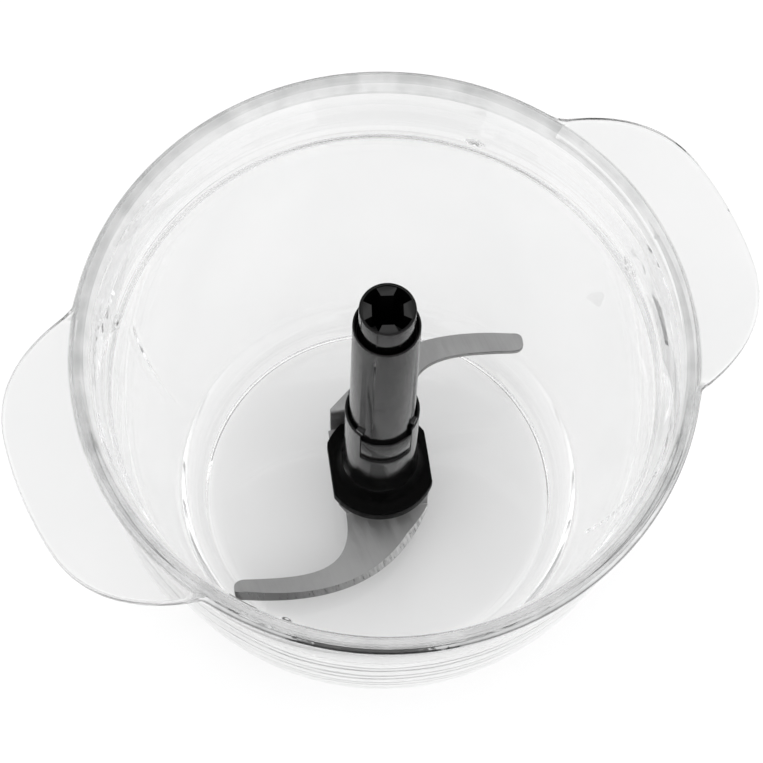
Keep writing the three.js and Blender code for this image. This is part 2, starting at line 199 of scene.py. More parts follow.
def sector(name, inner, outer, start, end, bottom, top, steps=40):
    angles = np.linspace(start, end, steps + 1)
    outline = [(outer * math.cos(a), outer * math.sin(a)) for a in angles]
    outline += [(inner * math.cos(a), inner * math.sin(a)) for a in angles[::-1]]
    return prism(name, outline, bottom, top)


def drill(radius, bottom, top, x=0.0, sides=64):
    """A round cutter about a vertical line."""
    cutter = lathe("drill", [(0, bottom, 0), (radius, bottom, 0), (radius, top, 0), (0, top, 0)], sides)
    cutter.data.transform(Matrix.Translation((x * MM, 0, 0)))
    return cutter


def turned(piece, angle):
    piece.data.transform(Matrix.Rotation(angle, 4, "Z"))
    return piece


def combine(piece, others, operation):
    """Boolean of piece with each of the others, which are used up."""
    for other in others:
        modifier = piece.modifiers.new("boolean", "BOOLEAN")
        modifier.operation = operation
        modifier.solver = "EXACT"
        modifier.object = other
        apply_modifiers(piece)
        bpy.data.objects.remove(other)
    return piece


def apply_modifiers(piece):
    bpy.context.view_layer.update()
    evaluated = piece.evaluated_get(bpy.context.evaluated_depsgraph_get())
    mesh = bpy.data.meshes.new_from_object(evaluated)
    piece.modifiers.clear()
    piece.data = mesh


def soften(piece, width, sharp_angle=30, segments=2):
    """Small rounded edges wherever two faces meet at more than sharp_angle."""
    bevel = piece.modifiers.new("edges", "BEVEL")
    bevel.width = width * MM
    bevel.segments = segments
    bevel.limit_method = "ANGLE"
    bevel.angle_limit = math.radians(sharp_angle)
    bevel.use_clamp_overlap = True
    apply_modifiers(piece)
    shade(piece, sharp_angle)
    return piece


# ---- materials ------------------------------------------------------------------------

def new_material(name):
    material = bpy.data.materials.new(name)
    material.use_nodes = True
    nodes = material.node_tree.nodes
    return material, nodes, material.node_tree.links, nodes["Principled BSDF"]


def noise(nodes, links, scale, detail=4.0, stretch=None, roughness=0.5):
    """Noise on object coordinates, in cells per metre, stretched along chosen axes."""
    coordinates = nodes.new("ShaderNodeTexCoord")
    texture = nodes.new("ShaderNodeTexNoise")
    texture.inputs["Scale"].default_value = scale
    texture.inputs["Detail"].default_value = detail
    texture.inputs["Roughness"].default_value = roughness
    source = coordinates.outputs["Object"]
    if stretch:
        mapping = nodes.new("ShaderNodeMapping")
        mapping.inputs["Scale"].default_value = stretch
        links.new(source, mapping.inputs["Vector"])
        source = mapping.outputs["Vector"]
    links.new(source, texture.inputs["Vector"])
    return texture.outputs["Fac"]


def ramp(nodes, links, source, low, high, start=0.3, end=0.7):
    """Maps a value to between low and high, which are numbers or colours."""
    if isinstance(low, (int, float)):
        node = nodes.new("ShaderNodeMapRange")
        for socket, value in (("From Min", start), ("From Max", end), ("To Min", low), ("To Max", high)):
            node.inputs[socket].default_value = value
        links.new(source, node.inputs["Value"])
        return node.outputs["Result"]
    node = nodes.new("ShaderNodeValToRGB")
    node.color_ramp.elements[0].position = start
    node.color_ramp.elements[0].color = (*low, 1)
    node.color_ramp.elements[1].position = end
    node.color_ramp.elements[1].color = (*high, 1)
    links.new(source, node.inputs["Fac"])
    return node.outputs["Color"]


def fade_outward(nodes, links, near, far, start, end):
    """Colour near within start metres of the object's origin, and the colour far beyond end."""
    coordinates = nodes.new("ShaderNodeTexCoord")
    distance = nodes.new("ShaderNodeVectorMath")
    distance.operation = "LENGTH"
    links.new(coordinates.outputs["Object"], distance.inputs[0])
    mix = nodes.new("ShaderNodeMix")
    mix.data_type = "RGBA"
    mix.inputs["B"].default_value = (*far, 1)
    links.new(ramp(nodes, links, distance.outputs["Value"], 0.0, 1.0, start, end), mix.inputs["Factor"])
    links.new(near, mix.inputs["A"])
    return mix.outputs["Result"]


def bump(nodes, links, shader, height, distance, strength=1.0):
    node = nodes.new("ShaderNodeBump")
    node.inputs["Distance"].default_value = distance
    node.inputs["Strength"].default_value = strength
    links.new(height, node.inputs["Height"])
    links.new(node.outputs["Normal"], shader.inputs["Normal"])


def glass_material(name, low, high, wave_scale, wave_height):
    """Clear moulded glass: its colour wanders between two greys, with a faint waviness."""
    material, nodes, links, shader = new_material(name)
    shader.inputs["Transmission Weight"].default_value = 1
    shader.inputs["IOR"].default_value = 1.5
    waves = noise(nodes, links, wave_scale, detail=2.0)
    links.new(ramp(nodes, links, waves, low, high), shader.inputs["Base Color"])
    links.new(ramp(nodes, links, waves, 0.0, 0.02), shader.inputs["Roughness"])
    bump(nodes, links, shader, waves, wave_height, 0.35)
    path = nodes.new("ShaderNodeLightPath")
    soft = nodes.new("ShaderNodeMath")
    soft.operation = "MAXIMUM"
    links.new(path.outputs["Is Shadow Ray"], soft.inputs[0])
    links.new(path.outputs["Is Diffuse Ray"], soft.inputs[1])
    through = nodes.new("ShaderNodeBsdfTransparent")
    through.inputs["Color"].default_value = (0.955, 0.955, 0.955, 1)
    mix = nodes.new("ShaderNodeMixShader")
    links.new(soft.outputs["Value"], mix.inputs["Fac"])
    links.new(shader.outputs["BSDF"], mix.inputs[1])
    links.new(through.outputs["BSDF"], mix.inputs[2])
    links.new(mix.outputs["Shader"], nodes["Material Output"].inputs["Surface"])
    return material


def plastic_material(name, colour, roughness, grain_scale, grain_height, specular=0.5):
    material, nodes, links, shader = new_material(name)
    grain = noise(nodes, links, grain_scale, detail=3.0)
    dust = noise(nodes, links, 90, detail=5.0)
    lighter = tuple(c * 1.6 for c in colour)
    links.new(ramp(nodes, links, dust, colour, lighter), shader.inputs["Base Color"])
    spread = ramp(nodes, links, dust, roughness * 0.85, roughness * 1.2)
    links.new(spread, shader.inputs["Roughness"])
    shader.inputs["Specular IOR Level"].default_value = specular
    bump(nodes, links, shader, grain, grain_height)
    return material


TIP_FADE = (0.03, 0.052)                # how far out ground steel starts and ends darkening, metres


def steel_material(name, colour, roughness, stretch, dark=0.86, tip=None):
    """Brushed metal, or ground metal where tip is given. dark is the darkest it gets, as a share
    of its colour, in soft clouds or along the grinding lines. tip is the colour that ground metal
    takes far from the object's origin."""
    material, nodes, links, shader = new_material(name)
    shader.inputs["Metallic"].default_value = 1
    lines = noise(nodes, links, 500, detail=6.0, stretch=stretch, roughness=0.65)
    tone = lines if tip else noise(nodes, links, 60, detail=3.0)
    darker = tuple(c * dark for c in colour)
    surface = ramp(nodes, links, tone, darker, colour, 0.36, 0.64)
    if tip:
        surface = fade_outward(nodes, links, surface, tip, *TIP_FADE)
    links.new(surface, shader.inputs["Base Color"])
    links.new(ramp(nodes, links, lines, roughness * 0.8, roughness * 1.25), shader.inputs["Roughness"])
    bump(nodes, links, shader, lines, 0.00003, 0.6)
    return material


GLASS = glass_material("clear_glass", (0.9, 0.903, 0.903), (0.93, 0.93, 0.93), 22, 0.0004)
# Greyer glass for the lip band: painted shade, in streaks, for the grey that the thick rim shows
RIM_GLASS_PAINTED_SHADE = glass_material("rim_glass_painted_shade", (0.5, 0.504, 0.504), (0.7, 0.702, 0.702), 130, 0.0004)
BLACK_GLOSS = plastic_material("black_gloss", (0.0015, 0.0015, 0.0015), 0.12, 160, 0.00003, 0.32)
BLACK_TEXTURE = plastic_material("black_texture", (0.001, 0.001, 0.001), 0.4, 2600, 0.00014, 0.03)
BLACK_MATTE = plastic_material("black_matte", (0.012, 0.012, 0.012), 0.55, 1800, 0.00006)
RUBBER = plastic_material("seal_rubber", (0.014, 0.014, 0.014), 0.8, 1200, 0.00006)
ACETAL = plastic_material("acetal", (0.62, 0.6, 0.55), 0.45, 900, 0.00003)
TURNED_STEEL = steel_material("turned_steel", (0.6, 0.61, 0.62), 0.25, (0.05, 0.05, 1))
BLADE_STEEL = steel_material("blade_steel", (0.34, 0.34, 0.34), 0.5, (1, 0.04, 1))
GROUND_STEEL = steel_material("ground_steel", (0.7, 0.7, 0.7), 0.3, (2.4, 0.12, 1), 0.6, (0.15, 0.15, 0.15))


def dress(piece, node, body, materials):
    """Gives a piece its materials and its body, and hides the CAD node that it stands for."""
    slots = [face.material_index for face in piece.data.polygons]
    piece.data.materials.clear()
    for material in materials:
        piece.data.materials.append(material)
    for face, index in zip(piece.data.polygons, slots):
        face.material_index = min(index, len(materials) - 1)
    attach(piece, body)
    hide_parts(node)


# ---- glass bowl -----------------------------------------------------------------------

BODY_R, BODY_TOP = 83.4, 92.0
HEEL_R, HEEL_Z = 67.2, 12.0
HEEL_LOW, HEEL_HIGH = (63.6, 0.1), (65.4, 6)            # handles of the heel's curve
OUTER_LOW, OUTER_HIGH_Z = (73.6, 28), 50                # of the outer wall's
INNER_LOW, INNER_HIGH_Z = (69.5, 29), 54                # and of the inner wall's
FOOT_OUT, FOOT_IN, FOOT_RISE = 60.0, 57.5, 1.2
FLOOR_TOP = 5.0
COVE_R, COVE_Z, COVE_BEND_R, COVE_END_R = 61.0, 11.0, 58.2, 50.0
LEDGE_Z, LEDGE_IN, LEDGE_OUT = 98.0, 79.4, 80.5
BOSS_R, BOSS_TOP, POCKET_R, POCKET_TOP, PIN_HOLE_R = 9.0, 11.0, 6.6, 7.3, 3.1
LIP_ROOT, LIP_UNDER, LIP_NECK_R, MOUTH_R = 115.9, 117.4, 86.4, 85.4
TAB_TOP, TAB_UNDER = 119.3, 115.9
LUG_ANGLES = [math.radians(a) for a in (1.2, 45.7, 144.8, 225.7)]
LUG_DEPTH, LUG_LIFT, LUG_HALF = 1.7, 4.0, math.radians(3.2)
RIB_ANGLE, RIB_HALF, RIB_SPAN, RIB_DEPTH = math.radians(138), math.radians(0.8), (26.0, 80.0), 0.22
DASH_ANGLE, DASH_HALF, DASH_SPAN, DASH_DEPTH = math.radians(-43.5), math.radians(0.9), (28.0, 96.0), 0.3
DASH_PITCH = 5.2


def tab_extension():
    """How far the tab stands out past the rim, as a function of the angle from its middle."""
    end = math.radians(8.86)
    tip = np.array((TAB_REACH * math.cos(end), TAB_REACH * math.sin(end)))
    side = bezier(tip, tip + (-2.9, 18.8), (91, 44), (76, 47.2), 60)
    angle = np.concatenate([[0], np.arctan2(side[:, 1], side[:, 0])])
    reach = np.concatenate([[TAB_REACH], np.hypot(side[:, 0], side[:, 1])])
    slope = (reach[-1] - reach[-8]) / (angle[-1] - angle[-8])
    beyond = math.radians(12)
    angle = np.append(angle, angle[-1] + beyond)
    reach = np.append(reach, reach[-1] + slope * beyond)
    softness = 1.1

    def extension(from_middle):
        raw = np.interp(abs(from_middle), angle, reach) - RIM_R
        return (raw + math.hypot(raw, softness)) / 2 if raw < 8 else raw
    return extension


def fade(value, width):
    """1 at zero, falling smoothly to 0 at width."""
    t = min(abs(value) / width, 1)
    return 1 - t * t * (3 - 2 * t)


def apart(a, b):
    return (a - b + math.pi) % (2 * math.pi) - math.pi


def rib_height(angle, z):
    """Moulded marks on the inner wall: a plain rib on one side, a row of dashes on the other."""
    height = 0.0
    rib = fade(apart(angle, RIB_ANGLE), RIB_HALF)
    if rib > 0 and RIB_SPAN[0] < z < RIB_SPAN[1]:
        height += RIB_DEPTH * rib * min(1, (z - RIB_SPAN[0]) / 3, (RIB_SPAN[1] - z) / 3)
    dash = fade(apart(angle, DASH_ANGLE), DASH_HALF)
    if dash > 0 and DASH_SPAN[0] < z < DASH_SPAN[1]:
        phase = ((z - DASH_SPAN[0]) / DASH_PITCH) % 1
        height += DASH_DEPTH * dash * fade(phase - 0.5, 0.42)
    return height


def bowl_section(angle, extension):
    """The glass section at an angle, from the pin hole under the floor and round."""
    folded = abs(apart(angle, 0))
    out = extension(min(folded, math.pi - folded))
    share = min(out / 3, 1)
    share = share * share * (3 - 2 * share)
    root = LIP_ROOT + share * (TAB_UNDER - LIP_ROOT)
    under = LIP_UNDER + share * (TAB_UNDER - LIP_UNDER)
    top = RIM_TOP - 1.3 + share * (TAB_TOP - RIM_TOP + 1.3)
    foot = filleted([
        (PIN_HOLE_R, POCKET_TOP, 0), (POCKET_R, POCKET_TOP, 0.4), (POCKET_R, FOOT_RISE, 0.6),
        (FOOT_IN - 1.9, FOOT_RISE, 0.6), (FOOT_IN, 0, 0.5), (FOOT_OUT, 0, 0)], 3)
    heel = bezier((FOOT_OUT, 0), HEEL_LOW, HEEL_HIGH, (HEEL_R, HEEL_Z), 10)[1:-1]
    body = bezier((HEEL_R, HEEL_Z), OUTER_LOW, (BODY_R, OUTER_HIGH_Z), (BODY_R, BODY_TOP), 26)
    lip = filleted([
        (BODY_R, BODY_TOP, 0), (LIP_NECK_R - 0.6, LIP_ROOT - 6, 4), (LIP_NECK_R, root, 1.8),
        (RIM_R + out, under, 1.3), (RIM_R + out, top, 1.2),
        (RIM_R - 1.2 + 0.8 * share, top + 0.7 * (1 - share), 0.6),
        (RIM_R - 1.9 + 0.4 * share, RIM_TOP, 1.3), (MOUTH_R, RIM_TOP, 2.4),
        (LEDGE_OUT + 0.2, LEDGE_Z + 7, 3)], 5)[1:]
    lug = max(fade(apart(angle, a), LUG_HALF) for a in LUG_ANGLES)
    shelf = np.array([
        (LEDGE_OUT + 0.1 - LUG_DEPTH * lug * fade(z - LEDGE_Z - LUG_LIFT, 1.5), z)
        for z in np.linspace(LEDGE_Z + 5.4, LEDGE_Z + 2.6, 8)])
    ledge = bezier((LEDGE_OUT, LEDGE_Z + 2.4), (LEDGE_OUT, LEDGE_Z - 1.3), (LEDGE_IN, LEDGE_Z + 1.3),
                   (LEDGE_IN, LEDGE_Z - 2.6), 12)[:-1]
    inner = bezier((LEDGE_IN, LEDGE_Z - 2.6), (LEDGE_IN, INNER_HIGH_Z), INNER_LOW, (COVE_R, COVE_Z), 84)
    inner[:, 0] -= [rib_height(angle, z) for z in inner[:, 1]]
    cove = parabola((COVE_R, COVE_Z), (COVE_BEND_R, FLOOR_TOP), (COVE_END_R, FLOOR_TOP), 8)[1:]
    floor = filleted([
        (COVE_END_R, FLOOR_TOP, 0), (BOSS_R + 0.6, FLOOR_TOP, 1.5), (BOSS_R - 0.4, BOSS_TOP, 0.8),
        (PIN_HOLE_R, BOSS_TOP, 0.3), (PIN_HOLE_R, POCKET_TOP + 0.5, 0)], 6)[1:]
    return np.concatenate([foot, heel, body, lip, shelf, ledge, inner, cove, floor])


def bowl_angles():
    """One degree apart, closer where a mark or a lid lug shapes the wall."""
    angles = set(np.round(np.arange(0, 360, 1.0), 3))
    features = [(a, 4, 0.4) for a in LUG_ANGLES] + [(a, 1.2, 0.2) for a in (RIB_ANGLE, DASH_ANGLE)]
    for middle, spread, step in features:
        fine = math.degrees(middle) + np.arange(-spread, spread + step, step)
        angles |= set(np.round(fine % 360, 3))
    kept = []
    for angle in sorted(angles):
        if not kept or angle - kept[-1] > 0.12:
            kept.append(angle)
    return [math.radians(a) for a in kept]


def glass_bowl():
    extension = tab_extension()
    bowl = around("glass_bowl_visual", lambda a: bowl_section(a, extension), bowl_angles(), 40)
    for face in bowl.data.polygons:
        radius, height = face.center.xy.length / MM, face.center.z / MM
        # The lip band between the mouth and the rim takes the greyer glass, which carries painted shade
        face.material_index = int(MOUTH_R < radius < RIM_R and height > LIP_ROOT - 1)
    dress(bowl, "glass_bowl", "root", [GLASS, RIM_GLASS_PAINTED_SHADE])


# ---- pin, its fixing and the bearing ----------------------------------------------------

def ring_corners(inner, outer, bottom, top, edge=0.12):
    middle = (bottom + top) / 2
    return [(inner, middle, 0), (inner, bottom, edge), (outer, bottom, edge), (outer, top, edge),
            (inner, top, edge)]


def centre_pin():
    low, high = node_box("centre_pin")
    shoulder_bottom, shoulder_top = 12.5, 14.6
    shank, rod = 2.5, 3.0
    corners = [
        (0, low.z, 0), (shank - 0.4, low.z, 0.1), (shank, low.z + 0.4, 0.1),
        (shank, shoulder_bottom, 0.1), (high.x, shoulder_bottom, 0.25), (high.x, shoulder_top, 0.3),
        (rod + 0.3, shoulder_top, 0.2), (rod, shoulder_top + 0.6, 0.2), (rod, high.z - 1.6, 1.2),
        (1.2, high.z, 1.0), (0, high.z, 0)]
    dress(lathe("centre_pin_visual", corners, 64), "centre_pin", "root", [TURNED_STEEL])


def flat_ring(node, inner, body, material, edge=0.15):
    low, high = node_box(node)
    piece = lathe(node + "_visual", ring_corners(inner, high.x, low.z, high.z, edge), 64)
    dress(piece, node, body, [material])


def lock_washer():
    low, high = node_box("lock_washer")
    piece = lathe("lock_washer_visual", ring_corners(SHANK_HOLE, high.y, low.z, high.z, 0.08), 64)
    piece = combine(piece, [slab("split", 0, 8, -0.5, 0.5, low.z - 1, high.z + 1)], "DIFFERENCE")
    dress(soften(piece, 0.05), "lock_washer", "root", [TURNED_STEEL])


def pin_nut():
    low, high = node_box("pin_nut")
    outline = [(high.x * math.cos(a), high.x * math.sin(a)) for a in turns(6)]
    nut = prism("pin_nut_visual", outline, low.z, high.z)
    nut = combine(nut, [drill(SHANK_HOLE, 0, 12)], "DIFFERENCE")
    dress(soften(nut, 0.2), "pin_nut", "root", [TURNED_STEEL])


def nut_cap():
    low, high = node_box("nut_cap")
    wall = 0.9
    corners = [
        (0, low.z, 0), (high.x, low.z, 0.35), (high.x, high.z, 0.2), (high.x - wall, high.z, 0.2),
        (high.x - wall, low.z + wall, 0.2), (0, low.z + wall, 0)]
    dress(lathe("nut_cap_visual", corners, 64), "nut_cap", "root", [BLACK_MATTE])


def bearing_sleeve():
    low, high = node_box("bearing_sleeve")
    radius, flange_top = 4.8, 17.3
    corners = [
        (SLEEVE_BORE, 40, 0), (SLEEVE_BORE, low.z, 0.2), (high.x, low.z, 0.2),
        (high.x, flange_top, 0.2), (radius, flange_top, 0.3), (radius, high.z, 0.3),
        (SLEEVE_BORE, high.z, 0.2)]
    dress(lathe("bearing_sleeve_visual", corners, 64), "bearing_sleeve", "bearing", [ACETAL])


# ---- blade ------------------------------------------------------------------------------
# The blade unit's pieces are made in its own frame and turned to REST_TURN.

THICK = 1.8
HUB_Z, LOW_Z, HIGH_Z = 24.8, 15.0, 39.0     # top faces of the blade's three levels
DROP_Y, RISE_Y, ROOT_Y = -10.4, 15.0, 11.2
SIDE_IN, SIDE_OUT, RISE_SIDE = 12.0, 14.4, 13.6
CORNER_END_Y = 22.0                         # the high wing's corner is cut straight to here
GRIND_WIDTH, EDGE_THICK = 2.3, 0.25
GRIND_START = 5                             # stations over which the ground flank grows
SCREW_X, SCREW_HOLE = 10.2, 1.6


def wing_stations():
    """Pairs of points on a wing's concave and convex edges, from its root to its tip."""
    concave = bezier((-SIDE_IN, -ROOT_Y), (-12, -31.5), (-27, -30.3), (-47.4, -28.1), 34)
    convex = bezier((SIDE_OUT, -ROOT_Y), (3, -32.5), (-17, -40.5), (-47.4, -34.4), 34)
    pairs = [(a, b, 1.0) for a, b in zip(concave, convex)]
    middle = (concave[-1] + convex[-1]) / 2
    half = (concave[-1] - convex[-1]) / 2
    reach, steps = 3.3, 9
    for k in range(1, steps + 1):
        angle = math.pi / 2 * k / steps
        width = max(math.cos(angle), 0.02) ** 0.6
        centre = middle - (reach * math.sin(angle), 0)
        pairs.append((centre + half * width, centre - half * width, width))
    return pairs


def blade_section(left, right, level, normal, grind, side, cut):
    """Eight points across the plate. grind is the width of the ground flank, side (-1, 1)
    the edge that has it, and cut how much thickness it takes, from above (+) or below (-)."""
    points = []
    left, right = np.array((*left, level)), np.array((*right, level))
    across = right - left
    width = np.linalg.norm(across)
    across = across / max(width, 1e-9)
    flanks = {-1: 0.2, 1: 0.2}
    flanks[side] = max(grind, 0.2)
    cuts = {-1: 0.0, 1: 0.0}
    cuts[side] = cut
    limit = 0.45 * width
    a, b = min(flanks[-1], limit), min(flanks[1], limit)
    points += [left - normal * max(cuts[-1], 0), left + across * a]
    points += [right - across * b, right - normal * max(cuts[1], 0)]
    down = normal * THICK
    points += [right - down + normal * max(-cuts[1], 0), right - across * b - down]
    points += [left + across * a - down, left - down + normal * max(-cuts[-1], 0)]
    return points


def blade_sections():
    """Sections of the bent plate from the low tip, over the hub, to the high tip."""
    up = np.array((0.0, 0.0, 1.0))
    wing = wing_stations()
    full_cut = THICK - EDGE_THICK
    sections = []
    for index in reversed(range(len(wing))):
        concave, convex, width = wing[index]
        run_in = min(index / GRIND_START, 1)
        sections.append(blade_section(
            concave, convex, LOW_Z, up, GRIND_WIDTH * run_in * width, 1, full_cut * run_in))
    path = filleted([
        (-ROOT_Y - 0.1, LOW_Z, 0), (DROP_Y - 0.05, LOW_Z, 0.5), (DROP_Y, HUB_Z, 1.2),
        (RISE_Y, HUB_Z, 0.4), (RISE_Y, HIGH_Z, 2.6), (RISE_Y + 2.7, HIGH_Z, 0)], 6)[1:-1]
    for index, (y, z) in enumerate(path):
        ahead = path[min(index + 1, len(path) - 1)] - path[max(index - 1, 0)]
        normal = np.array((0.0, -ahead[1], ahead[0])) / np.linalg.norm(ahead)
        if z > HUB_Z:
            left, right = -RISE_SIDE, SIDE_IN
        elif z < HUB_Z - 3:
            left, right = -SIDE_IN, SIDE_OUT
        else:
            left, right = -SIDE_OUT, SIDE_OUT
        sections.append(blade_section((left, y), (right, y), z, normal, 0, 1, 0))
    for index, (concave, convex, width) in enumerate(wing):
        run_in = min(index / GRIND_START, 1)
        left, right = -convex, -concave
        if left[1] < CORNER_END_Y:
            continue
        sections.append(blade_section(
            left, right, HIGH_Z, up, GRIND_WIDTH * run_in * width, -1, -full_cut * run_in))
    return sections


def s_blade():
    sections = blade_sections()
    rows = len(sections[0])
    points = np.concatenate([np.array(section) for section in sections])
    faces, ground = [], []
    for i in range(len(sections) - 1):
        for k in range(rows):
            n = (k + 1) % rows
            faces.append((i * rows + k, i * rows + n, (i + 1) * rows + n, (i + 1) * rows + k))
            ground.append(k in (2, 6))
    faces.append(tuple(range(rows)))
    faces.append(tuple(range((len(sections) - 1) * rows, len(sections) * rows)))
    blade = mesh_object("s_blade_visual", points, faces, 20)
    for face, is_ground in zip(blade.data.polygons, ground):
        face.material_index = int(is_ground)
    holes = [drill(BLADE_BORE, 0, TUBE_TOP)]
    holes += [drill(SCREW_HOLE, 0, TUBE_TOP, side * SCREW_X, 24) for side in (-1, 1)]
    combine(blade, holes, "DIFFERENCE")
    shade(blade, 20)
    dress(turned(blade, REST_TURN), "s_blade", "blade_unit", [BLADE_STEEL, GROUND_STEEL])


# ---- carrier, clamp plate and screws ------------------------------------------------------

FLANGE_R, FLANGE_FLAT, FLANGE_BACK = 17.9, 15.7, 14.7
COLLAR_R, COLLAR_BORE, COLLAR_SEAT = 11.3, 10.4, 44.0
TEXTURE_TOP = 35.5                          # the flange and the neck's foot are textured
NOTCH_BOTTOM, NOTCH_HALF = 58.0, math.radians(44)
ROD_BORE = 5.1
FACINGS = (-math.pi / 2, math.pi / 2)


def flange_radius(angle):
    radius = min(FLANGE_R, FLANGE_FLAT / max(abs(math.cos(angle)), 1e-6))
    return min(radius, FLANGE_BACK / max(math.sin(angle), 1e-6))


def carrier_section(angle):
    low, high = CARRIER_LOW.z, CARRIER_HIGH.z
    flange_top, neck_top, bore_middle = 30.0, 43, 40
    neck_bend = (11.5, 32.5)
    edge = flange_radius(angle)
    foot = min(14.9, edge - 0.6)
    outline = filleted([
        (ROD_BORE, bore_middle, 0), (ROD_BORE, low, 0.3), (edge, low, 0.5), (edge, flange_top, 0.9),
        (foot, flange_top + 0.2, 0.3)], 4)
    neck = parabola((foot - 0.3, flange_top + 0.25), neck_bend, (COLLAR_R, neck_top), 11)[1:]
    collar = filleted([
        (COLLAR_R, neck_top, 0), (COLLAR_R, high, 0.45), (COLLAR_BORE, high, 0.15),
        (COLLAR_BORE, COLLAR_SEAT, 0.3), (ROD_BORE, COLLAR_SEAT, 0.3),
        (ROD_BORE, bore_middle + 1, 0)], 4)[1:]
    rungs = np.linspace(neck_top, high - 1, 8)[1:, None]
    wall = np.concatenate([np.full_like(rungs, COLLAR_R), rungs], 1)
    return np.concatenate([outline, neck, wall, collar])


def carrier_angles():
    """Every three degrees, and at the flange's corners."""
    corners = [math.acos(FLANGE_FLAT / FLANGE_R), math.atan2(FLANGE_BACK, FLANGE_FLAT)]
    angles = set(round(math.radians(a), 5) for a in range(0, 360, 3))
    for corner in (-corners[0], math.pi + corners[0], corners[1], math.pi - corners[1]):
        angles = {a for a in angles if abs(apart(a, corner)) > 0.02}
        angles.add(round(corner % (2 * math.pi), 5))
    return sorted(angles)


def blade_carrier():
    screw_end = 28.3
    carrier = around("blade_carrier_visual", carrier_section, carrier_angles(), 35)
    cuts = []
    for facing in FACINGS:
        cuts.append(sector(
            "notch", COLLAR_BORE - 1, COLLAR_R + 1, facing - NOTCH_HALF, facing + NOTCH_HALF,
            NOTCH_BOTTOM, TUBE_TOP))
    for side in (-1, 1):
        near, far = sorted((side * (COLLAR_BORE - 0.5), side * (COLLAR_R + 2)))
        cuts.append(slab("slit", near, far, -0.5, 0.5, NOTCH_BOTTOM, NOTCH_BOTTOM + 12))
        cuts.append(drill(SCREW_HOLE, 0, screw_end, side * SCREW_X, 24))
    carrier = combine(carrier, cuts, "DIFFERENCE")
    soften(carrier, 0.14, 40)
    for face in carrier.data.polygons:
        face.material_index = int(face.center.z < TEXTURE_TOP * MM)
    dress(turned(carrier, REST_TURN), "blade_carrier", "blade_unit", [BLACK_GLOSS, BLACK_TEXTURE])


def clamp_plate():
    low, high = node_box("clamp_plate")
    radius, half_width, bore, lip_bore, lip = 13.6, 8.0, 6.3, 5.4, 0.7
    corners = [(lip_bore, low.z + 0.3, 0), (lip_bore, low.z, 0.2), (radius, low.z, 0.3),
               (radius, high.z, 0.3), (bore, high.z, 0.2), (bore, low.z + lip, 0.1),
               (lip_bore, low.z + lip, 0.1)]
    plate = lathe("clamp_plate_visual", corners, 96)
    cuts = []
    for side in (-1, 1):
        near, far = sorted((side * half_width, side * (radius + 2)))
        cuts.append(slab("flat", -20, 20, near, far, low.z - 1, high.z + 1))
        cuts.append(drill(SCREW_HOLE, 0, 40, side * SCREW_X, 24))
        cuts.append(drill(2.5, 0, low.z + 2.0, side * SCREW_X, 32))
    plate = combine(plate, cuts, "DIFFERENCE")
    soften(plate, 0.2)
    dress(turned(plate, REST_TURN), "clamp_plate", "blade_unit", [BLACK_MATTE])


def clamp_screw(node, side):
    low, high = node_box(node)
    head, head_height, shank = 2.2, 1.4, 1.3
    corners = [
        (0, low.z, 0), (head, low.z, 0.4), (head, low.z + head_height, 0.1),
        (shank, low.z + head_height, 0.1), (shank, high.z - 0.8, 0.1), (shank - 0.5, high.z, 0.1),
        (0, high.z, 0)]
    screw = lathe(node + "_visual", corners, 32)
    screw = combine(screw, [slab("driver", -1.6, 1.6, -0.3, 0.3, low.z - 1, low.z + 0.6)], "DIFFERENCE")
    soften(screw, 0.06)
    screw.data.transform(Matrix.Translation((side * SCREW_X * MM, 0, 0)))
    dress(turned(screw, REST_TURN), node, "blade_unit", [TURNED_STEEL])


# ---- tube, socket and seals ---------------------------------------------------------------

KEY_R, KEY_TOP, KEY_HALF = 11.2, 71.5, math.radians(42.4)
TUBE_LUGS = [math.radians(a) for a in (-137, -35, 43, 145)]
PARTING_ANGLES = [math.radians(a) for a in (-117.7, 62.3)]


def hub_tube():
    low, high = node_box("hub_tube")
    wide, narrow, bore, throat = 10.0, 9.65, 8.0, 5.1
    well, mouth, mouth_depth, well_floor, plug = 8.3, 8.9, 6.0, 114.0, 110.0
    web_bottom, web_top = 60, 70
    lug_reach, lug_half, lug_bottom, lug_top = 11.0, 1.1, 75.4, 77.6
    parting_half, parting_bottom, parting_top = 0.3, 79, high.z - 8
    corners = [
        (0, plug, 0), (bore, plug, 0.4), (bore, web_top, 0.3), (throat, web_top, 0.2),
        (throat, web_bottom, 0.2), (bore, web_bottom, 0.3), (bore, low.z, 0.3), (wide, low.z, 0.3),
        (wide, KEY_TOP, 4),
        (narrow, high.z, 0.6), (mouth, high.z, 0.25), (mouth, high.z - mouth_depth, 0.2),
        (well, high.z - mouth_depth, 0.2), (well, well_floor, 0.3), (0, well_floor, 0)]
    tube = lathe("hub_tube_visual", corners, 120, 4, 35)
    keys, grooves = [], []
    for facing in FACINGS:
        keys.append(sector("key", wide - 0.6, KEY_R, facing - KEY_HALF, facing + KEY_HALF,
                           NOTCH_BOTTOM + GAP, KEY_TOP))
        grooves.append(sector("groove", wide + 0.04, wide + 0.55, facing - KEY_HALF - 0.1,
                              facing + KEY_HALF + 0.1, KEY_TOP - 4, KEY_TOP + 1))
    for angle in TUBE_LUGS:
        lug = slab("lug", wide - 1, lug_reach, -lug_half, lug_half, lug_bottom, lug_top)
        keys.append(turned(lug, angle))
    for angle in PARTING_ANGLES:
        line = slab("parting", narrow - 0.2, narrow + 0.6, -parting_half, parting_half,
                    parting_bottom, parting_top)
        grooves.append(turned(line, angle))
    tube = combine(tube, keys, "UNION")
    tube = combine(tube, grooves, "DIFFERENCE")
    soften(tube, 0.15, 40)
    dress(turned(tube, REST_TURN), "hub_tube", "blade_unit", [BLACK_GLOSS])


